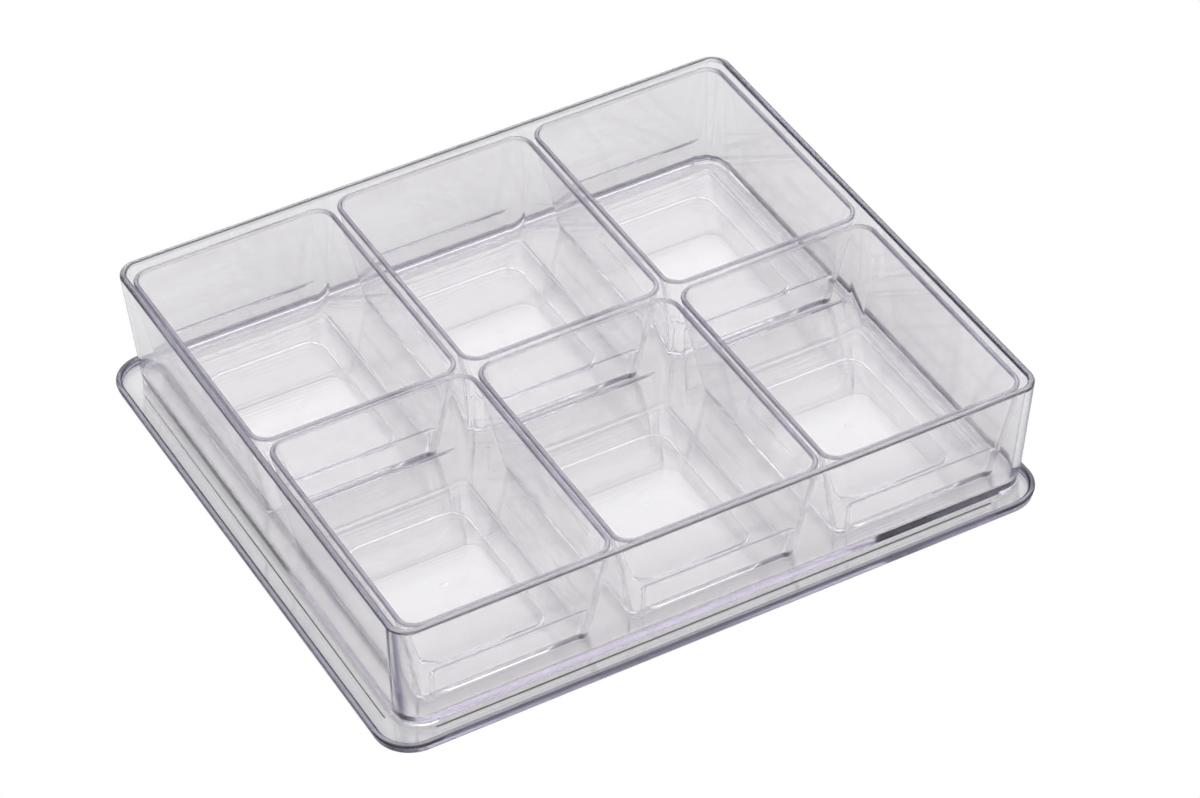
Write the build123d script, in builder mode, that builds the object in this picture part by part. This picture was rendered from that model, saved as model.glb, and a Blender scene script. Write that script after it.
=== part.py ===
import os

from build123d import *

# A clear box for cut bar garnishes: six loose cups stand in a deep outer tray, and the tray
# stands in its own lid, turned over as a drip tray.
# Sizes are in millimetres. +X runs along the three-cup side, +Y along the two-cup side towards
# the back, +Z up. The origin is the middle of the lid's underside.

# Outer tray
tray_length = 300.0  # over the rim, along X
tray_depth = 268.0  # over the rim, along Y
tray_height = 56.4  # from the feet to the rim
tray_wall = 3.0
tray_floor = 2.6
tray_draft = 2.85  # how far each wall leans in, from rim to feet
tray_rim_corner = 9.5
tray_foot_corner = 13.0
tray_floor_round = 1.8  # where the floor meets the walls inside
foot_height = 1.1
foot_width = 3.0
foot_reach = 14.5  # how far each corner foot runs along a side

# Lid, lying upside down under the tray
lid_floor = 2.6
lid_height = 5.1
lid_wall = 2.8
lid_draft = 0.9  # how far the skirt leans in, from its lip to its flat face
lid_lip_corner = 17.0
lid_face_corner = 16.0
lid_edge_round = 1.1
skirt_clearance = 2.2  # between the skirt and the tray's rim when the lid is on
rib_clearance = 0.5  # between the ribs and the tray's walls when the lid is on
rib_width = 1.2
rib_headroom = 0.3  # between the ribs and the tray's underside
rib_stop = 24.0  # how far each rib ends before the lid's corner

# Cups
cup_wall = 2.2
cup_floor = 2.2
cup_rim_drop = 1.6  # the cups' rims below the tray's rim
cup_rim_corner = 9.0
cup_foot_corner = 4.5
cup_side_draft = 9.0  # how far the long walls lean in, from rim to underside
cup_end_draft = 10.0  # how far the end walls lean in, from rim to underside
cup_edge_round = 0.8
cup_play_x = 6.0  # spare length in the tray beside three cups
cup_play_y = 4.0  # spare depth in the tray beside two cups
panel_height = 16.9  # the shoulder over each end wall's inset panel
panel_top_width = 74.0
panel_low_width = 68.0
panel_top_inset = 1.3
panel_low_inset = 0.8
ledge_lift = 1.2  # the ledge inside, over the shoulder outside
pad_length = 54.5  # the raised pad in the cup's floor, along X
pad_depth = 77.0
pad_corner = 8.0
pad_step = 0.8
gate_radius = 1.5
gate_height = 0.3

# Shares and the overrun of cuts
rim_round_share = 0.45  # of the wall that carries the rim
lip_round_share = 0.42  # of the skirt's wall, less because the skirt leans out
right_gap_share = 0.074  # the tray's gap to the skirt on the right, of the spare length there
back_gap_share = 0.213  # the same at the back
row_gap_shares = {"front": (0.43, 0.06, 0.18, 0.33), "back": (0.10, 0.33, 0.25, 0.32)}
column_gap_shares = {"left": (0.15, 0.12, 0.73), "middle": (0.12, 0.50, 0.38), "right": (0.20, 0.50, 0.30)}
overrun = 1.0

# Sizes that follow from those above
foot_length = tray_length - 2 * tray_draft
foot_depth = tray_depth - 2 * tray_draft
well_length = tray_length - 2 * tray_wall
well_depth = tray_depth - 2 * tray_wall
lid_inner_length = tray_length + 2 * skirt_clearance
lid_inner_depth = tray_depth + 2 * skirt_clearance
lid_length = lid_inner_length + 2 * lid_wall
lid_depth = lid_inner_depth + 2 * lid_wall
tray_x = (lid_inner_length - foot_length) * (0.5 - right_gap_share)
tray_y = (lid_inner_depth - foot_depth) * (0.5 - back_gap_share)
cup_length = (well_length - cup_play_x) / 3
cup_depth = (well_depth - cup_play_y) / 2
cup_stand = lid_floor + foot_height + tray_floor
cup_height = tray_height - foot_height - tray_floor - cup_rim_drop
lower_length = cup_length - 2 * cup_side_draft
lower_depth = cup_depth - 2 * cup_end_draft

os.makedirs("parts", exist_ok=True)


def between(low, high, share):
    """The size that lies at a share of the way from one size to another."""
    return low + (high - low) * share


# The lid: a flat plate with a low skirt, open upwards here
with BuildPart() as under_tray:
    with BuildSketch():
        RectangleRounded(lid_length - 2 * lid_draft, lid_depth - 2 * lid_draft, lid_face_corner)
    with BuildSketch(Plane.XY.offset(lid_height)):
        RectangleRounded(lid_length, lid_depth, lid_lip_corner)
    loft(ruled=True)
    fillet(under_tray.faces().sort_by(Axis.Z)[0].edges(), lid_edge_round)
    with BuildSketch(Plane.XY.offset(lid_floor)):
        RectangleRounded(lid_inner_length, lid_inner_depth, lid_lip_corner - lid_wall)
    extrude(amount=lid_height, mode=Mode.SUBTRACT)
    fillet(under_tray.faces().sort_by(Axis.Z)[-1].edges(), lip_round_share * lid_wall)
    # four low ribs that drop inside the tray's rim when the lid is on
    with BuildSketch(Plane.XY.offset(lid_floor)):
        with Locations(
            (0, well_depth / 2 - rib_clearance - rib_width / 2),
            (0, rib_width / 2 + rib_clearance - well_depth / 2),
        ):
            SlotOverall(lid_length - 2 * rib_stop, rib_width)
        with Locations(
            (well_length / 2 - rib_clearance - rib_width / 2, 0),
            (rib_width / 2 + rib_clearance - well_length / 2, 0),
        ):
            SlotOverall(lid_depth - 2 * rib_stop, rib_width, rotation=90)
    extrude(amount=foot_height - rib_headroom)
under_tray.part.label = "under_tray"
export_step(under_tray.part, "parts/under_tray.step")


# The outer tray: drafted walls round a flat floor, on four corner feet
tray_place = Plane(origin=(tray_x, tray_y, lid_floor))
sole_share = foot_height / tray_height
well_share = (foot_height + tray_floor) / tray_height
with BuildPart() as outer_tray:
    with BuildSketch(tray_place.offset(foot_height)):
        RectangleRounded(
            between(foot_length, tray_length, sole_share),
            between(foot_depth, tray_depth, sole_share),
            between(tray_foot_corner, tray_rim_corner, sole_share),
        )
    with BuildSketch(tray_place.offset(tray_height)):
        RectangleRounded(tray_length, tray_depth, tray_rim_corner)
    loft(ruled=True)
    with BuildSketch(tray_place.offset(foot_height + tray_floor)):
        RectangleRounded(
            between(foot_length, tray_length, well_share) - 2 * tray_wall,
            between(foot_depth, tray_depth, well_share) - 2 * tray_wall,
            between(tray_foot_corner, tray_rim_corner, well_share) - tray_wall,
        )
    with BuildSketch(tray_place.offset(tray_height)):
        RectangleRounded(well_length, well_depth, tray_rim_corner - tray_wall)
    loft(ruled=True, mode=Mode.SUBTRACT)
    fillet(outer_tray.faces().sort_by(Axis.Z)[-1].edges(), rim_round_share * tray_wall)
    well_floor = outer_tray.faces().filter_by(Axis.Z).sort_by(Axis.Z)[-2]
    fillet(well_floor.edges(), tray_floor_round)
    # feet under the corners only, so that the straight edges stay clear of the lid
    with BuildSketch(tray_place.offset(foot_height)):
        RectangleRounded(foot_length, foot_depth, tray_foot_corner)
        RectangleRounded(
            foot_length - 2 * foot_width,
            foot_depth - 2 * foot_width,
            tray_foot_corner - foot_width,
            mode=Mode.SUBTRACT,
        )
        Rectangle(foot_length - 2 * foot_reach, foot_depth + overrun, mode=Mode.SUBTRACT)
        Rectangle(foot_length + overrun, foot_depth - 2 * foot_reach, mode=Mode.SUBTRACT)
    extrude(amount=-foot_height)
outer_tray.part.label = "outer_tray"
export_step(outer_tray.part, "parts/outer_tray.step")


def end_wall(height):
    """Half the cup's depth over its end walls, at a height over its underside."""
    return between(lower_depth, cup_depth, height / cup_height) / 2


def panel_inset(height):
    """How far the end panel lies behind the end wall, at a height over the underside."""
    return between(panel_low_inset, panel_top_inset, height / panel_height)


def panel_width(height):
    """The end panel's width at a height over the underside."""
    return between(panel_low_width, panel_top_width, height / panel_height)


# The cups: six equal mouldings, each where it has slid to in its play
cup_lift = cup_floor / cup_height
ledge_height = panel_height + ledge_lift
for row_number, (row, x_shares) in enumerate(row_gap_shares.items()):
    for column_number, (column, y_shares) in enumerate(column_gap_shares.items()):
        play_left = cup_play_x * sum(x_shares[: column_number + 1])
        play_front = cup_play_y * sum(y_shares[: row_number + 1])
        cup_x = tray_x - well_length / 2 + (column_number + 0.5) * cup_length + play_left
        cup_y = tray_y - well_depth / 2 + (row_number + 0.5) * cup_depth + play_front
        cup_place = Plane(origin=(cup_x, cup_y, cup_stand))
        with BuildPart() as cup:
            with BuildSketch(cup_place):
                RectangleRounded(lower_length, lower_depth, cup_foot_corner)
            with BuildSketch(cup_place.offset(cup_height)):
                RectangleRounded(cup_length, cup_depth, cup_rim_corner)
            loft(ruled=True)
            fillet(cup.faces().sort_by(Axis.Z)[0].edges(), cup_edge_round)
            with BuildSketch(cup_place.offset(cup_floor)):
                RectangleRounded(
                    between(lower_length, cup_length, cup_lift) - 2 * cup_wall,
                    between(lower_depth, cup_depth, cup_lift) - 2 * cup_wall,
                    between(cup_foot_corner, cup_rim_corner, cup_lift) - cup_wall,
                )
            with BuildSketch(cup_place.offset(cup_height)):
                RectangleRounded(
                    cup_length - 2 * cup_wall,
                    cup_depth - 2 * cup_wall,
                    cup_rim_corner - cup_wall,
                )
            loft(ruled=True, mode=Mode.SUBTRACT)
            fillet(cup.faces().sort_by(Axis.Z)[-1].edges(), rim_round_share * cup_wall)
            # the inset panel low on each end wall, and its ledge inside
            for side in (-1, 1):
                for height in (0, panel_height):
                    face = end_wall(height) - panel_inset(height)
                    with BuildSketch(cup_place.offset(height)):
                        with Locations((0, side * (face + overrun / 2 + panel_inset(height) / 2))):
                            Rectangle(panel_width(height), panel_inset(height) + overrun)
                loft(ruled=True, mode=Mode.SUBTRACT)
                for height in (cup_floor / 2, ledge_height):
                    face = end_wall(height) - panel_inset(height) - cup_wall
                    root = end_wall(height) - (cup_wall + panel_inset(height)) / 2
                    with BuildSketch(cup_place.offset(height)):
                        with Locations((0, side * (face + root) / 2)):
                            Rectangle(panel_width(height), root - face)
                loft(ruled=True)
            # the raised pad in the floor, hollow below, with the moulding gate's mark
            for level, change in ((cup_floor, Mode.ADD), (0, Mode.SUBTRACT)):
                with BuildSketch(cup_place.offset(level)):
                    RectangleRounded(pad_length, pad_depth, pad_corner)
                extrude(amount=pad_step, mode=change)
            with BuildSketch(cup_place.offset(pad_step)):
                Circle(gate_radius)
            extrude(amount=-gate_height)
        cup.part.label = f"cup_{row}_{column}"
        export_step(cup.part, f"parts/{cup.part.label}.step")
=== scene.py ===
import math

import bpy
import numpy as np
from mathutils import Matrix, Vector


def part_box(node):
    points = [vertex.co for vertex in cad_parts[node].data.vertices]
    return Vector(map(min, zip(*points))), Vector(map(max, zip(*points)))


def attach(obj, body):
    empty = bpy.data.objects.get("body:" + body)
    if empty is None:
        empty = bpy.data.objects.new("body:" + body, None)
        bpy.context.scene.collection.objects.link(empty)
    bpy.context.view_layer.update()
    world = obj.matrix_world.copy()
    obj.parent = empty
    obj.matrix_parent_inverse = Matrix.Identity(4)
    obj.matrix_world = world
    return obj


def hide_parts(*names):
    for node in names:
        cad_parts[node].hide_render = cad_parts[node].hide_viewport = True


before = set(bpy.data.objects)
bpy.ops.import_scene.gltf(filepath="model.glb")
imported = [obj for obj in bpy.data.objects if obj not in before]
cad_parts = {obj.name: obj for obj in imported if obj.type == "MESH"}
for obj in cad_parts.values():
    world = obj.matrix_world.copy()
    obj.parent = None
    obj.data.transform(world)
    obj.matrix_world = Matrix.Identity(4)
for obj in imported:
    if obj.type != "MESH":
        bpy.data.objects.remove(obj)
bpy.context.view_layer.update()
mm = 0.001  # the pieces' sizes are in millimetres, and meshes in metres


# Every piece is one closed skin. Its columns run round a rounded rectangle, and its stations run
# from the middle of the underside, out and up the outer wall, over the rim and down to the middle
# of the floor inside.


def makeColumns(straights, edge, cornerSteps, sideSteps):
    # A point at a station of half length a, half depth b and corner radius r is
    # (along * (a - r) + r cos angle, across * (b - r) + r sin angle). A straight side keeps one
    # angle, and a corner keeps one along and across. straights are half the straight sides' lengths,
    # and edge holds the distances from each side's ends where its columns stand close together.
    farther = 1.5  # the wide columns start this many times as far in as the close ones stop
    sides = []
    for straight in straights:
        fine = edge / straight
        middle = np.cos(np.linspace(math.pi, 0, sideSteps)) * (1 - farther * fine[-1])
        sides.append(np.concatenate([fine - 1, middle, (1 - fine)[::-1]]))
    turn = np.arange(1, cornerSteps) / cornerSteps * math.pi / 2
    along, across, angle = [], [], []
    corners = [(1, -1), (1, 1), (-1, 1), (-1, -1)]
    for number, (x, y) in enumerate(corners):
        nextX, nextY = corners[(number + 1) % len(corners)]
        side = sides[(number + 1) % len(sides)]
        along += [np.full(len(turn), x), (x + nextX) / 2 + (nextX - x) / 2 * side]
        across += [np.full(len(turn), y), (y + nextY) / 2 + (nextY - y) / 2 * side]
        start = (number - 1) * math.pi / 2
        angle += [start + turn, np.full(len(side), start + math.pi / 2)]
    return tuple(np.concatenate(part).astype(float) for part in (along, across, angle))


def makeShell(name, centre, columns, stations, shadeMarks, dent=None, lift=None):
    # A station is a row (a, b, r, z) in millimetres round the centre. dent moves points inwards and
    # lift moves them upwards. They and each of the shade marks are a share per column times an amount
    # per station. The shade marks add up to the 'edge' attribute: painted shade that darkens the plastic
    # along its edges.
    along, across, angle = (part[:, None] for part in columns)
    a, b, r, z = (part[None, :] for part in stations.T)
    inwards = np.outer(*dent) if dent else 0
    upwards = np.outer(*lift) if lift else 0
    x = along * (a - r) + (r - inwards) * np.cos(angle)
    y = across * (b - r) + (r - inwards) * np.sin(angle)
    grid = np.stack([x, y, np.broadcast_to(z + upwards, x.shape)], axis=2)
    around, count = grid.shape[:2]
    # a single point closes the underside, and another the floor inside
    poles = np.array([[0, 0, grid[:, 0, 2].mean()], [0, 0, grid[:, -1, 2].mean()]])
    points = np.concatenate([grid.reshape(-1, 3), poles]) * mm + np.array(centre)
    here = np.arange(around)
    beside = (here + 1) % around
    low = np.arange(count - 1)

    def corner(column, station):
        # a point's number is its column's times the count of stations, plus its station's
        return column[:, None] * count + station[None, :]

    quads = [corner(here, low), corner(beside, low), corner(beside, low + 1), corner(here, low + 1)]
    quads = np.stack(quads, 2).reshape(-1, 4)
    pole = np.full(around, around * count)
    last = count - 1
    under = np.stack([beside * count, here * count, pole], 1)
    over = np.stack([here * count + last, beside * count + last, pole + 1], 1)
    mesh = bpy.data.meshes.new(name)
    mesh.from_pydata(points.tolist(), [], quads.tolist() + under.tolist() + over.tolist())
    # smooth shading that keeps flat walls flat: each face pulls its corners' normals by its area
    pull = np.zeros_like(points)
    cross = np.cross(points[quads[:, 2]] - points[quads[:, 0]], points[quads[:, 3]] - points[quads[:, 1]])
    for place in range(quads.shape[1]):
        np.add.at(pull, quads[:, place], cross)
    for fan in (under, over):
        cross = np.cross(points[fan[:, 1]] - points[fan[:, 0]], points[fan[:, 2]] - points[fan[:, 0]])
        for place in range(fan.shape[1]):
            np.add.at(pull, fan[:, place], cross)
    pull /= np.linalg.norm(pull, axis=1)[:, None]
    mesh.shade_smooth()
    # painted shade: the marks' amounts summed at each point, kept as the 'edge' attribute
    edgeShade = sum(np.outer(share, amount) for share, amount in shadeMarks)
    edgeShade = np.concatenate([edgeShade.ravel(), np.zeros(len(poles))])
    mesh.attributes.new("edge", "FLOAT", "POINT").data.foreach_set("value", edgeShade)
    mesh.normals_split_custom_set_from_vertices(pull.tolist())
    piece = bpy.data.objects.new(name, mesh)
    bpy.context.scene.collection.objects.link(piece)
    return piece


def arc(start, end, steps):
    # angles from start to end, given in degrees, as radians
    return np.radians(np.linspace(start, end, steps))


def smooth(share):
    # an ease from 0 to 1 with level ends: three squares less two cubes
    share = np.clip(share, 0, 1)
    return share * share * (3 - 2 * share)


def rows(*parts):
    # stations from parts (a, b, r, z), where single numbers repeat along the longest
    out = []
    for part in parts:
        part = [np.atleast_1d(np.asarray(value, float)) for value in part]
        out.append(np.stack(np.broadcast_arrays(*part), 1))
    return np.concatenate(out)


def perStation(parts, values):
    # one value for each station of the named parts, and nought for the parts left out
    spread = [np.broadcast_to(values.get(name, 0.0), len(part)) for name, part in parts.items()]
    return np.concatenate(spread)


def fromEnd(columns, straights):
    # how far each column lies from the nearer end of its straight side, and nought in a corner
    along, across, _ = columns
    return (1 - np.abs(along)) * straights[0] + (1 - np.abs(across)) * straights[1]


# Clear moulded plastic
plastic = {
    "ior": 1.57,
    "tint": (0.968, 0.967, 0.978),
    "smudgeTint": (0.966, 0.956, 0.956),  # mixed in as the smudges' noise rises
    "haze": (0.012, 0.03),  # roughness, from clean to smudged
    "smudge": (0.45, 0.8),  # the noise's values that count as clean and as fully smudged
    "smudgeScale": 60.0,
    "smudgeDetail": 3.0,
    "ripple": 0.02,
    "rippleScale": 22.0,
    "rippleDetail": 0.5,
    "shade": (0.96, 0.96, 0.96),  # what each skin lets through to what it shades
    "paintedShadeColour": (0.05, 0.04, 0.14),  # painted shade: the dark colour an edge is mixed towards where its shade is at full tone
    "rimCore": 0.7,  # the rim's painted shade on its crown, beside that on its two sides
    "rimFall": 1.5,  # the power by which the painted shade falls from the sides towards the crown
    "deepTint": (0.912, 0.905, 0.921),  # about what is left of light after 1 m / deepDensity
    "deepDensity": 40.0,
    "seedStep": (1.7, 0.9, 2.3),  # metres between one piece's noise and the next's
}


def addNode(tree, kind, feeds, **options):
    # adds a shader node, sets its options, and feeds its sockets from values or other sockets
    node = tree.nodes.new(kind)
    for name, value in options.items():
        setattr(node, name, value)
    feedNode(tree, node, feeds)
    return node


def feedNode(tree, node, feeds):
    # links a node's input where the feed is another node's socket, and sets its value otherwise
    for name, value in feeds.items():
        if isinstance(value, bpy.types.NodeSocket):
            tree.links.new(value, node.inputs[name])
        else:
            node.inputs[name].default_value = value


def clearPlastic(name, seed):
    # glossy clear plastic with faint flow ripples and smudges, painted shade that darkens its colour
    # along the moulded edges, and a violet tint that grows with the light's way through it
    material = bpy.data.materials.new(name)
    material.use_nodes = True
    tree = material.node_tree
    body = tree.nodes["Principled BSDF"]
    place = addNode(tree, "ShaderNodeTexCoord", {})
    shift = addNode(tree, "ShaderNodeMapping", {
        "Vector": place.outputs["Object"],
        "Location": [seed * step for step in plastic["seedStep"]],
    })
    ripple = addNode(tree, "ShaderNodeTexNoise", {
        "Vector": shift.outputs["Vector"],
        "Scale": plastic["rippleScale"],
        "Detail": plastic["rippleDetail"],
    })
    bump = addNode(tree, "ShaderNodeBump", {
        "Height": ripple.outputs["Fac"],
        "Strength": plastic["ripple"],
        "Distance": mm,
    })
    smudge = addNode(tree, "ShaderNodeTexNoise", {
        "Vector": shift.outputs["Vector"],
        "Scale": plastic["smudgeScale"],
        "Detail": plastic["smudgeDetail"],
    })
    haze = addNode(tree, "ShaderNodeMapRange", {
        "Value": smudge.outputs["Fac"],
        "From Min": plastic["smudge"][0],
        "From Max": plastic["smudge"][1],
        "To Min": plastic["haze"][0],
        "To Max": plastic["haze"][1],
    })
    tint = addNode(tree, "ShaderNodeMix", {
        "Factor": smudge.outputs["Fac"],
        "A": (*plastic["tint"], 1),
        "B": (*plastic["smudgeTint"], 1),
    }, data_type="RGBA")
    # painted shade: the 'edge' attribute mixes the tint towards a dark colour along rims, feet, shoulders
    # and front corners, in place of the dark the light shows there
    edge = addNode(tree, "ShaderNodeAttribute", {}, attribute_name="edge")
    shadedTint = addNode(tree, "ShaderNodeMix", {
        "Factor": edge.outputs["Fac"],
        "A": tint.outputs["Result"],
        "B": (*plastic["paintedShadeColour"], 1),
    }, data_type="RGBA")
    body.distribution = "GGX"
    feedNode(tree, body, {
        "Base Color": shadedTint.outputs["Result"],
        "Roughness": haze.outputs["Result"],
        "Normal": bump.outputs["Normal"],
        "Transmission Weight": 1.0,
        "IOR": plastic["ior"],
    })
    # lamps reach what is behind the plastic, dimmed a little at each skin
    light = addNode(tree, "ShaderNodeLightPath", {})
    through = addNode(tree, "ShaderNodeBsdfTransparent", {"Color": (*plastic["shade"], 1)})
    either = addNode(tree, "ShaderNodeMixShader", {
        "Fac": light.outputs["Is Shadow Ray"],
        1: body.outputs["BSDF"],
        2: through.outputs["BSDF"],
    })
    deep = addNode(tree, "ShaderNodeVolumeAbsorption", {
        "Color": (*plastic["deepTint"], 1),
        "Density": plastic["deepDensity"],
    })
    feedNode(tree, tree.nodes["Material Output"], {
        "Surface": either.outputs["Shader"],
        "Volume": deep.outputs["Volume"],
    })
    return material


def shadeBySide(angle, relief):
    # painted shade at full tone on the left and right sides, and lighter by the relief on the front and
    # back ones, where more light falls
    return 1 - relief * np.abs(np.sin(angle))


def rimShade(rim):
    # the rim's painted shade: the crown's tone, plus what is missing to full tone times a power of the
    # cosine of the rim's turn
    core = plastic["rimCore"]
    return core + (1 - core) * np.abs(np.cos(rim)) ** plastic["rimFall"]


def placeOf(node):
    # middle of a node's footprint at its underside, and its length, depth and height in millimetres
    low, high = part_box(node)
    middle = ((low.x + high.x) / 2, (low.y + high.y) / 2, low.z)
    return middle, [(end - start) / mm for start, end in zip(low, high)]


def finishPiece(piece, body, material):
    # the piece takes its material, moves with its body, and stands in for it
    piece.data.materials.append(material)
    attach(piece, body)
    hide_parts(body)


# Cups
cup = {
    "wall": 2.2,
    "floor": 2.2,
    "sideDraft": 9.0,  # how far the long walls lean in, from rim to underside
    "endDraft": 10.0,  # how far the end walls lean in, from rim to underside
    "lean": 10,  # degrees by which the foot's rounding stops short of upright
    "rimCorner": 9.0,
    "footCorner": 4.5,
    "footRound": 0.8,
    "floorRound": 1.0,
    "shoulder": 16.9,  # height of the end panels' shoulder
    "shoulderEase": 0.5,
    "ledgeLift": 1.2,  # the ledge inside, over the shoulder outside
    "insetTop": 1.3,
    "insetLow": 0.8,
    "frontFade": 2.7,  # widths over which the front panel's sides and the back one's blend out
    "backFade": 5.4,
    "creaseSpread": 0.5,  # a power: the lower it is, the wider the shoulder's painted shade spreads
    "pad": (54.5, 77.0, 8.0),  # length, depth and corner
    "padStep": 0.8,
    "padEase": 0.55,
    "padLoop": 6.0,  # from the pad's edge to the loop of faces that keeps its middle flat
    "gate": (1.5, 0.3),  # radius and height
    "gateEase": 0.3,
    "gateLoops": (1 / 2, 1 / 3, 1 / 8),  # inner half size and corner, and half the flats, over its radius
    "hold": 0.5,  # from each rounding to the loop that keeps the wall beside it flat
    "air": 0.15,  # the cup stands clear of the tray's floor, so that their faces don't merge
    # painted shade along each moulded edge: the foot, the shoulder and ledge, the rim and the floor's
    # rounding
    "paintedEdgeShade": {"foot": 0.25, "shoulder": 1.0, "ledge": 0.3, "rim": 0.9, "floor": 0.06},
    # the painted shade's relief is how much lighter it is on the sides that face front and back
    "frontRelief": 0.7,
    # counts of stations in each stretch, of columns in each fade and side, and of steps in a corner
    "steps": {"ease": 7, "foot": 6, "rim": 15, "inner": 6, "low": 4, "high": 5},
    "columns": {"fade": 9, "corner": 10, "side": 9},
}


def makeCup(node, material):
    # Drafted walls, an inset panel low on each end wall, a rounded rim and a raised pad. The panel
    # lies behind the wall by an inset that grows evenly with height, times the column's share.
    centre, (length, depth, height) = placeOf(node)
    wall, hold, ease, steps = cup["wall"], cup["hold"], cup["padEase"], cup["steps"]
    rimRound = wall / 2
    top = height - rimRound
    halfA, halfB = length / 2, depth / 2
    lowA = halfA - cup["sideDraft"] * top / height
    lowB = halfB - cup["endDraft"] * top / height

    def atWall(z, n):
        # sizes that grow evenly with height z from the foot's to the rim's, and n all round
        share = np.asarray(z, float) / top
        return (
            lowA + (halfA - lowA) * share + n,
            lowB + (halfB - lowB) * share + n,
            cup["footCorner"] + (cup["rimCorner"] - cup["footCorner"]) * share + n,
            z,
        )

    padA, padB, padR = cup["pad"][0] / 2, cup["pad"][1] / 2, cup["pad"][2]
    step, loop = cup["padStep"], cup["padLoop"]
    gateR, gateH = cup["gate"]
    gateMiddle, gateCorner, gateFlat = (gateR * share for share in cup["gateLoops"])
    foot, floorZ, inner = cup["footRound"], cup["floor"], cup["floorRound"]
    shoulder, ledge = cup["shoulder"], cup["shoulder"] + cup["ledgeLift"]
    rise = np.linspace(0, 1, steps["ease"])
    grow = (rise - 0.5) * ease  # the pad's step has its middle on the pad's edge
    bottom = arc(-90, -cup["lean"], steps["foot"])
    rim = arc(0, 180, steps["rim"])
    innerFoot = arc(cup["lean"], 90, steps["inner"])
    gateIn = gateR - cup["gateEase"] * (1 - rise)
    parts = {
        "under": rows(
            (gateMiddle, gateMiddle, gateCorner, step - gateH),
            (gateIn, gateIn, gateIn - gateFlat, step - gateH * (1 - smooth(rise))),
            (padA - loop, padB - loop, padR / 2, step),
            (padA - hold - ease, padB - hold - ease, padR - hold - ease, step),
            (padA + grow, padB + grow, padR + grow, step * (1 - smooth(rise))),
        ),
        "below": rows(
            atWall(0.0, -foot - hold),
            atWall(foot + foot * np.sin(bottom), foot * (np.cos(bottom) - 1)),
        ),
        "outerLow": rows(atWall(np.linspace(foot + hold, shoulder - hold, steps["low"]), 0)),
        "outerStep": rows(atWall(shoulder + rise * cup["shoulderEase"], 0)),
        "outerHigh": rows(atWall(np.linspace(shoulder + 2 * hold, top - hold, steps["high"]), 0)),
        "over": rows(atWall(top, rimRound * (np.cos(rim) - 1))),
        "innerHigh": rows(atWall(np.linspace(top - hold, ledge + 2 * hold, steps["high"]), -wall)),
        "innerStep": rows(atWall(ledge + rise[::-1] * cup["shoulderEase"], -wall)),
        "innerLow": rows(atWall(np.linspace(ledge - hold, floorZ + inner + hold, steps["low"]), -wall)),
        "foothold": rows(
            atWall(floorZ + inner * (1 - np.sin(innerFoot)), -wall - inner * (1 - np.cos(innerFoot))),
        ),
        "flat": rows(atWall(floorZ, -wall - inner - hold)),
        "inside": rows(
            (padA + hold + ease, padB + hold + ease, padR + hold, floorZ),
            (padA - grow, padB - grow, padR - grow, floorZ + step * smooth(rise)),
            (padA - hold - ease, padB - hold - ease, padR - hold - ease, floorZ + step),
            (padA - loop, padB - loop, padR / 2, floorZ + step),
            (gateR, gateR, gateR / 2, floorZ + step),
        ),
    }
    parts["over"][:, 3] += rimRound * np.sin(rim)  # the rim's round rises over the walls' top
    stations = np.concatenate(list(parts.values()))
    inset = cup["insetLow"] + (cup["insetTop"] - cup["insetLow"]) * stations[:, 3] / shoulder
    inset = inset * perStation(parts, {
        "below": 1,
        "outerLow": 1,
        "outerStep": 1 - smooth(rise),
        "innerStep": smooth(rise),
        "innerLow": 1,
        "foothold": 1,
        "flat": 1,
    })
    stations[:, 3] = cup["air"] + stations[:, 3] * (1 - cup["air"] / height)
    straights = (halfA - cup["rimCorner"], halfB - cup["rimCorner"])
    fine = np.linspace(0, cup["backFade"], cup["columns"]["fade"])
    columns = makeColumns(straights, fine, cup["columns"]["corner"], cup["columns"]["side"])
    along, across, angle = columns
    fade = np.where(across < 0, cup["frontFade"], cup["backFade"])
    panel = smooth((1 - np.abs(along)) * straights[0] / fade)
    # painted shade: along the foot, rim and floor's rounding, lighter at front and back, and along the end
    # panels' shoulder and ledge
    edgeShade = cup["paintedEdgeShade"]
    crease = np.sin(math.pi * rise) ** cup["creaseSpread"]
    shadeMarks = [
        (shadeBySide(angle, cup["frontRelief"]), perStation(parts, {
            "below": edgeShade["foot"],
            "over": edgeShade["rim"] * rimShade(rim),
            "foothold": edgeShade["floor"],
        })),
        (panel, perStation(parts, {
            "outerStep": edgeShade["shoulder"] * crease,
            "innerStep": edgeShade["ledge"] * crease,
        })),
    ]
    piece = makeShell(node + "_shell", centre, columns, stations, shadeMarks, dent=(panel, inset))
    finishPiece(piece, node, material)


# Outer tray
tray = {
    "wall": 3.0,
    "floor": 2.6,
    "draft": 2.85,  # how far each wall leans in, from rim to feet
    "rimCorner": 9.5,
    "footCorner": 13.0,
    "footHeight": 1.1,
    "footWidth": 3.0,
    "footReach": 14.5,  # how far each corner foot runs along a side
    "footEase": 0.95,  # the length over which a foot's end rises to the underside
    "easeStart": 0.1,  # where that length's columns start, as a share of it
    "edgeRound": 0.5,
    "floorRound": 1.8,
    "hold": 0.45,
    "middle": (20.0, 10.0),  # half size and corner of the loops that keep the floor's middle flat
    "border": 20.0,  # from the walls to the next loops of the floor
    "air": 0.1,
    # painted shade along the foot, rim and floor's rounding, and a painted dark reflection down the front
    # corners
    "paintedEdgeShade": {"foot": 0.25, "rim": 1.0, "floor": 0.06, "paintedReflection": 1.0},
    "frontRelief": 0.75,
    "paintedReflection": (0.46, 0.18),  # the front corners' painted dark reflection, a streak: place and width, as sines of the turn
    "steps": {"ease": 5, "foot": 6, "rim": 17, "inner": 8, "outwards": 7, "inwards": 6},
    "columns": {"foot": 3, "ease": 6, "corner": 14, "side": 11},
}


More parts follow.
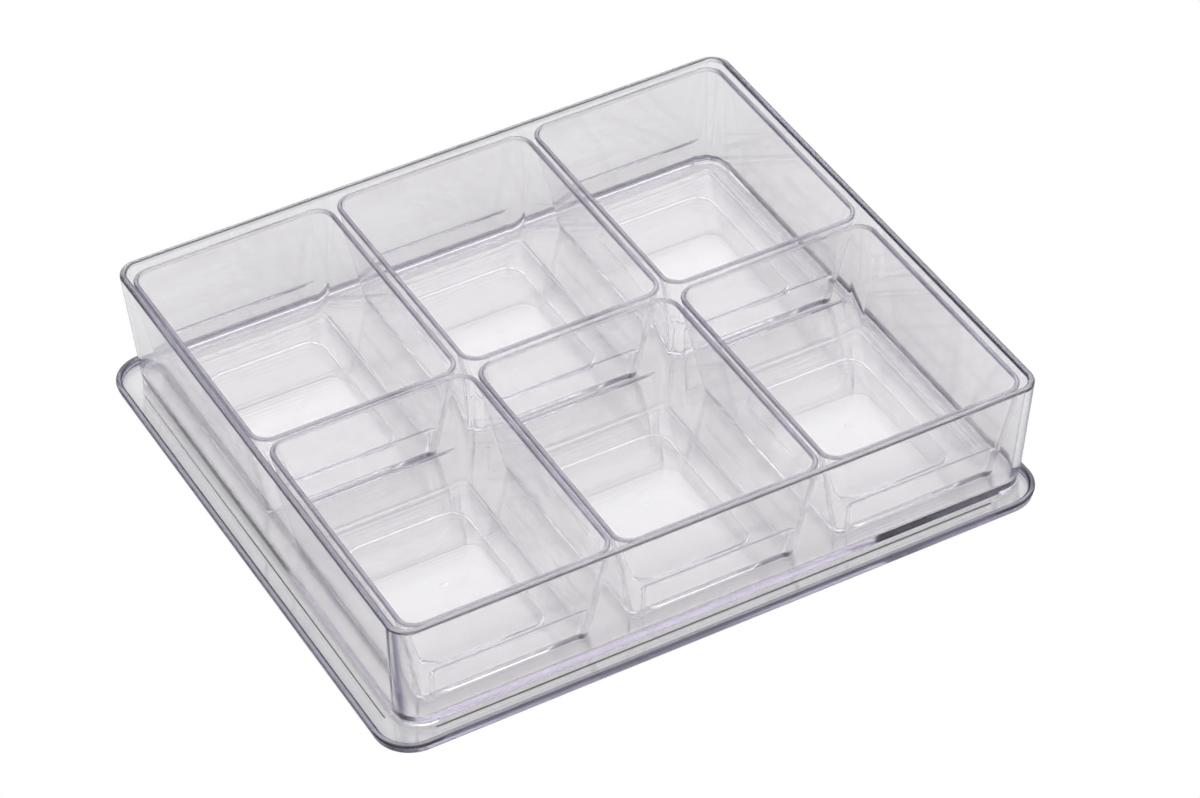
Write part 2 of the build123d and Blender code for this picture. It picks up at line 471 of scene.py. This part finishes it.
def makeTray(material):
    # Drafted walls, a rounded rim, and a low foot under each corner: the underside stands at the
    # feet's height, and its corners drop to the ground. The painted dark reflection down each front
    # corner is a bell over the sine of the columns' turn.
    centre, (length, depth, height) = placeOf("outer_tray")
    wall, hold, steps = tray["wall"], tray["hold"], tray["steps"]
    rimRound = wall / 2
    top = height - rimRound
    halfA, halfB = length / 2, depth / 2
    lean = tray["draft"] * top / height
    foot, width, edge, inner = tray["footHeight"], tray["footWidth"], tray["edgeRound"], tray["floorRound"]

    def atWall(z, n):
        # the rim's sizes less an even lean down to height z, and n all round
        share = np.asarray(z, float) / top
        return (
            halfA - lean * (1 - share) + n,
            halfB - lean * (1 - share) + n,
            tray["footCorner"] + (tray["rimCorner"] - tray["footCorner"]) * share + n,
            z,
        )

    rise = np.linspace(0, 1, steps["ease"])
    bottom = arc(-90, 0, steps["foot"])
    rim = arc(0, 180, steps["rim"])
    innerFoot = arc(0, 90, steps["inner"])
    floorZ = foot + tray["floor"]
    middle, middleR = tray["middle"]
    farA, farB = halfA - tray["border"], halfB - tray["border"]
    walls = np.linspace(foot + edge + hold, top - hold, steps["outwards"])
    inwards = np.linspace(top - hold, floorZ + inner + hold, steps["inwards"])
    parts = {
        "under": rows((middle, middle, middleR, foot), (farA - width, farB - width, middleR, foot)),
        "footIn": rows(atWall(foot, -width - edge * (1 - rise))),
        "footFlat": rows(atWall(foot, edge - width)),
        "footOut": rows(atWall(foot + edge + edge * np.sin(bottom), edge * (np.cos(bottom) - 1))),
        "walls": rows(atWall(walls, 0)),
        "over": rows(atWall(top, rimRound * (np.cos(rim) - 1))),
        "inwards": rows(atWall(inwards, -wall)),
        "foothold": rows(
            atWall(floorZ + inner * (1 - np.sin(innerFoot)), -wall - inner * (1 - np.cos(innerFoot))),
        ),
        "inside": rows((farA, farB, middleR, floorZ), (middle, middle, middleR, floorZ)),
    }
    parts["over"][:, 3] += rimRound * np.sin(rim)
    stations = np.concatenate(list(parts.values()))
    drop = -foot * perStation(parts, {"footIn": smooth(rise), "footFlat": 1, "footOut": 1})
    stations[:, 3] = tray["air"] + stations[:, 3] * (1 - tray["air"] / height)
    corner = tray["footCorner"]
    straights = (halfA - lean - corner, halfB - lean - corner)
    reach = tray["footReach"] - corner
    easing = np.linspace(tray["easeStart"], 1, tray["columns"]["ease"]) * tray["footEase"]
    fine = np.append(np.linspace(0, reach, tray["columns"]["foot"]), reach + easing)
    columns = makeColumns(straights, fine, tray["columns"]["corner"], tray["columns"]["side"])
    isFoot = 1 - smooth((fromEnd(columns, straights) - reach) / tray["footEase"])
    angle = columns[2]
    # painted shade on the foot, rim and floor's rounding, lighter at front and back, and a painted dark
    # reflection streak on the walls
    edgeShade = tray["paintedEdgeShade"]
    place, spread = tray["paintedReflection"]
    paintedReflection = np.exp(-((np.sin(angle) + place) / spread) ** 2)
    shadeMarks = [
        (shadeBySide(angle, tray["frontRelief"]), perStation(parts, {
            "footOut": edgeShade["foot"],
            "over": edgeShade["rim"] * rimShade(rim),
            "foothold": edgeShade["floor"],
        })),
        (paintedReflection, perStation(parts, {"walls": edgeShade["paintedReflection"]})),
    ]
    piece = makeShell("outer_tray_shell", centre, columns, stations, shadeMarks, lift=(isFoot, drop))
    finishPiece(piece, "outer_tray", material)


# Lid, lying upside down under the tray
lid = {
    "wall": 2.8,
    "floor": 2.6,
    "draft": 0.9,  # how far the skirt leans in, from its lip to its flat face
    "lean": 8,  # degrees by which the lower edge's rounding stops short of upright
    "lipCorner": 17.0,
    "faceCorner": 16.0,
    "edgeRound": 1.1,
    "floorRound": 0.4,
    "lipShare": 0.46,  # the lip's rounding as a share of the wall
    "ribGap": 6.07,  # from the skirt's inner face to the middle of a rib
    "ribBead": 0.72,  # half the width of a rib's rounded bead
    "beadReach": 1.3,  # how far the rib's stations reach to both sides, over that half width
    "ribHeight": 0.6,  # lower than the CAD's, as ribs of its height showed as crisp black lines
    "ribStop": 24.0,  # how far each rib ends before the lid's corner
    "ribEase": 1.1,  # the length over which a rib's end rises
    "hold": 0.45,
    "middle": (20.0, 10.0),  # half size and corner of the loops that keep the plate's middle flat
    "border": 10.0,
    "air": 0.05,
    # painted shade along the lower edge, the lip and the plate's inner rounding
    "paintedEdgeShade": {"foot": 1.0, "rim": 1.0, "floor": 0.25},
    "frontRelief": 0.0,
    "steps": {"foot": 7, "rim": 17, "inner": 4, "bead": 15},
    "columns": {"ease": 8, "corner": 14, "side": 11},
}


def makeLid(material):
    # A flat plate with a low rounded skirt, and four straight ribs: beads whose height eases down
    # on both sides and at their ends.
    centre, (length, depth, height) = placeOf("under_tray")
    wall, hold, steps = lid["wall"], lid["hold"], lid["steps"]
    rimRound = wall * lid["lipShare"]
    top = height - rimRound
    halfA, halfB = length / 2, depth / 2
    edge, inner, floorZ = lid["edgeRound"], lid["floorRound"], lid["floor"]

    def atWall(z, n):
        # the lip's sizes less an even lean down to height z, and n all round
        share = np.asarray(z, float) / top
        return (
            halfA - lid["draft"] * (1 - share) + n,
            halfB - lid["draft"] * (1 - share) + n,
            lid["faceCorner"] + (lid["lipCorner"] - lid["faceCorner"]) * share + n,
            z,
        )

    bottom = arc(-90, -lid["lean"], steps["foot"])
    rim = arc(0, 180, steps["rim"])
    innerFoot = arc(0, 90, steps["inner"])
    flatA, flatB, flatR, _ = atWall(0.0, -edge - hold)
    middle, middleR = lid["middle"]
    border = lid["border"]
    lip = rows(atWall(top, wall / 2 * (np.cos(rim) - 1)))
    innerA, innerB, innerR, _ = lip[-1]
    turnIn = inner * (1 - np.cos(innerFoot))
    ribA, ribB, ribR = innerA - lid["ribGap"], innerB - lid["ribGap"], innerR - lid["ribGap"]
    bead = np.linspace(lid["beadReach"], -lid["beadReach"], steps["bead"]) * lid["ribBead"]
    parts = {
        "under": rows(
            (middle, middle, middleR, 0),
            (flatA - border, flatB - border, middleR, 0),
            (flatA, flatB, flatR, 0),
        ),
        "outer": rows(atWall(edge + edge * np.sin(bottom), edge * (np.cos(bottom) - 1))),
        "skirt": rows(atWall(np.array([edge + hold, top - hold]), 0)),
        "over": lip,
        "foothold": rows(
            (innerA - turnIn, innerB - turnIn, innerR - turnIn, floorZ + inner * (1 - np.sin(innerFoot))),
        ),
        "ribs": rows((ribA + bead, ribB + bead, ribR + bead, floorZ)),
        "inside": rows(
            (ribA - border / 2, ribB - border / 2, ribR / 2, floorZ),
            (middle, middle, middleR, floorZ),
        ),
    }
    parts["over"][:, 3] += rimRound * np.sin(rim)
    stations = np.concatenate(list(parts.values()))
    ridge = lid["ribHeight"] * perStation(parts, {"ribs": 1 - smooth(np.abs(bead) / lid["ribBead"])})
    stations[:, 3] = lid["air"] + stations[:, 3] * (1 - lid["air"] / height)
    straights = (ribA - ribR, ribB - ribR)
    ribEnd = straights[0] - (halfA - lid["ribStop"])
    # a rib's end rises over ribEase, half of it to either side of where the rib stops
    fine = np.append(0, ribEnd + np.linspace(-0.5, 0.5, lid["columns"]["ease"]) * lid["ribEase"])
    columns = makeColumns(straights, fine, lid["columns"]["corner"], lid["columns"]["side"])
    isRib = smooth((fromEnd(columns, straights) - ribEnd) / lid["ribEase"] + 0.5)
    # painted shade along the lower edge, lip and inner rounding, even all round
    edgeShade = lid["paintedEdgeShade"]
    shadeMarks = [(shadeBySide(columns[2], lid["frontRelief"]), perStation(parts, {
        "outer": edgeShade["foot"],
        "over": edgeShade["rim"] * rimShade(rim),
        "foothold": edgeShade["floor"],
    }))]
    piece = makeShell("under_tray_shell", centre, columns, stations, shadeMarks, lift=(isRib, ridge))
    finishPiece(piece, "under_tray", material)


# each piece has a plastic of its own, with another seed for its noise
makeLid(clearPlastic("lidPlastic", 1))
makeTray(clearPlastic("trayPlastic", 2))
print("lid and tray made")
for number, node in enumerate(sorted(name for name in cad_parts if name.startswith("cup_"))):
    makeCup(node, clearPlastic("cupPlastic" + str(number), 3 + number))
print("cups made")


# Floor, light and camera, with the room's sizes in metres
studio = {
    "floorWidth": 12.0,
    "backdrop": (1.0, 1.0, 1.0),  # what the camera sees round the object, white as in the photo
    "bench": (0.41, 0.41, 0.414),  # what the plastic shows through and mirrors
    "benchRoughness": 0.9,
    "sky": (1.0, 1.0, 1.0),
    "skyStrength": 2.18,
    "skyRise": (0.12, 0.5),  # heights of a direction, as sines, between which the room brightens
    "roomStrength": (0.08, 0.25),  # at the room's left and right, and at its front and back
    "roomTurn": (0.15, 0.7),  # how far to front or back a direction points, as a sine, to reach each
    "softbox": 2.2,  # the length of its side
    "softboxPower": 12.0,
    "softboxPlace": (0.95, 1.8, 1.75),
    "bounces": 80,  # light runs a long way inside the walls and floors
}
# angles in degrees, sizes in millimetres, and the clipping range in metres
photoView = {
    "azimuth": -27.485,
    "elevation": 40.756,
    "roll": -2.132,
    "distance": 2024.3,
    "right": 11.28,  # how far the camera stands to the right of the line through the tray's middle
    "up": 13.075,  # and how far over it
    "lens": 141.84,
    "sensor": 36.0,
    "clip": (0.05, 50.0),
}


def whiteToCamera(tree, shader, output, kind):
    # plain white to the camera, and the shader to every other ray
    light = addNode(tree, "ShaderNodeLightPath", {})
    white = addNode(tree, kind, {"Color": (*studio["backdrop"], 1)})
    either = addNode(tree, "ShaderNodeMixShader", {
        "Fac": light.outputs["Is Camera Ray"],
        1: shader.outputs[0],
        2: white.outputs[0],
    })
    feedNode(tree, output, {"Surface": either.outputs["Shader"]})


def makeFloor():
    # a wide square under the object: a matt grey bench that only the camera sees as white
    mesh = bpy.data.meshes.new("floor")
    half = studio["floorWidth"] / 2
    corners = [(-half, -half, 0), (half, -half, 0), (half, half, 0), (-half, half, 0)]
    mesh.from_pydata(corners, [], [(0, 1, 2, 3)])
    floor = bpy.data.objects.new("floor", mesh)
    bpy.context.scene.collection.objects.link(floor)
    material = bpy.data.materials.new("bench")
    material.use_nodes = True
    tree = material.node_tree
    paper = tree.nodes["Principled BSDF"]
    feedNode(tree, paper, {
        "Base Color": (*studio["bench"], 1),
        "Roughness": studio["benchRoughness"],
        "Specular IOR Level": 0.0,
    })
    whiteToCamera(tree, paper, tree.nodes["Material Output"], "ShaderNodeEmission")
    mesh.materials.append(material)


def makeSky():
    # bright above, dim near the horizon, and dimmest there to the left and right
    world = bpy.data.worlds.new("studio")
    bpy.context.scene.world = world
    world.use_nodes = True
    tree = world.node_tree
    sky = tree.nodes["Background"]
    place = addNode(tree, "ShaderNodeTexCoord", {})
    split = addNode(tree, "ShaderNodeSeparateXYZ", {"Vector": place.outputs["Generated"]})
    deep = addNode(tree, "ShaderNodeMath", {0: split.outputs["Y"]}, operation="ABSOLUTE")
    room = addNode(tree, "ShaderNodeMapRange", {
        "Value": deep.outputs[0],
        "From Min": studio["roomTurn"][0],
        "From Max": studio["roomTurn"][1],
        "To Min": studio["roomStrength"][0],
        "To Max": studio["roomStrength"][1],
    }, interpolation_type="SMOOTHSTEP")
    rise = addNode(tree, "ShaderNodeMapRange", {
        "Value": split.outputs["Z"],
        "From Min": studio["skyRise"][0],
        "From Max": studio["skyRise"][1],
        "To Min": room.outputs["Result"],
        "To Max": studio["skyStrength"],
    }, interpolation_type="SMOOTHSTEP")
    feedNode(tree, sky, {"Color": (*studio["sky"], 1), "Strength": rise.outputs["Result"]})
    whiteToCamera(tree, sky, tree.nodes["World Output"], "ShaderNodeBackground")


def makeLamp():
    # a square softbox above the back right, aimed at the middle of the part's underside
    data = bpy.data.lights.new("softbox", "AREA")
    data.shape = "SQUARE"
    data.size = studio["softbox"]
    data.energy = studio["softboxPower"]
    lamp = bpy.data.objects.new("softbox", data)
    bpy.context.scene.collection.objects.link(lamp)
    lamp.visible_transmission = False  # its light through the plastic comes with the shadow rays
    lamp.location = studio["softboxPlace"]
    aim = -lamp.location
    lamp.rotation_euler = aim.to_track_quat("-Z", "Y").to_euler()


def makeCamera():
    # The camera looks along the photo's view: its right, up and back axes come from azimuth,
    # elevation and roll, and it stands back along them from the tray's middle on the bench.
    side, tilt, roll = (math.radians(photoView[key]) for key in ("azimuth", "elevation", "roll"))
    level = math.cos(tilt)
    back = np.array([math.sin(side) * level, -math.cos(side) * level, math.sin(tilt)])
    right = np.array([math.cos(side), math.sin(side), 0])
    up = np.cross(back, right)
    cosine, sine = math.cos(roll), math.sin(roll)
    right, up = cosine * right + sine * up, cosine * up - sine * right
    middle = np.array(placeOf("outer_tray")[0]) * (1, 1, 0)
    place = middle + mm * (photoView["right"] * right + photoView["up"] * up + photoView["distance"] * back)
    data = bpy.data.cameras.new("camera")
    data.sensor_width = photoView["sensor"]
    data.lens = photoView["lens"]
    data.clip_start, data.clip_end = photoView["clip"]
    camera = bpy.data.objects.new("camera", data)
    bpy.context.scene.collection.objects.link(camera)
    turn = np.stack([right, up, back], axis=1)
    camera.matrix_world = Matrix.Translation(place) @ Matrix(turn.tolist()).to_4x4()
    bpy.context.scene.camera = camera


makeFloor()
makeSky()
makeLamp()
makeCamera()
scene = bpy.context.scene
scene.view_settings.view_transform = "Standard"
scene.cycles.max_bounces = studio["bounces"]
scene.cycles.transmission_bounces = studio["bounces"]
scene.cycles.transparent_max_bounces = studio["bounces"]
scene.cycles.glossy_bounces = studio["bounces"]
print("floor, light and camera made")
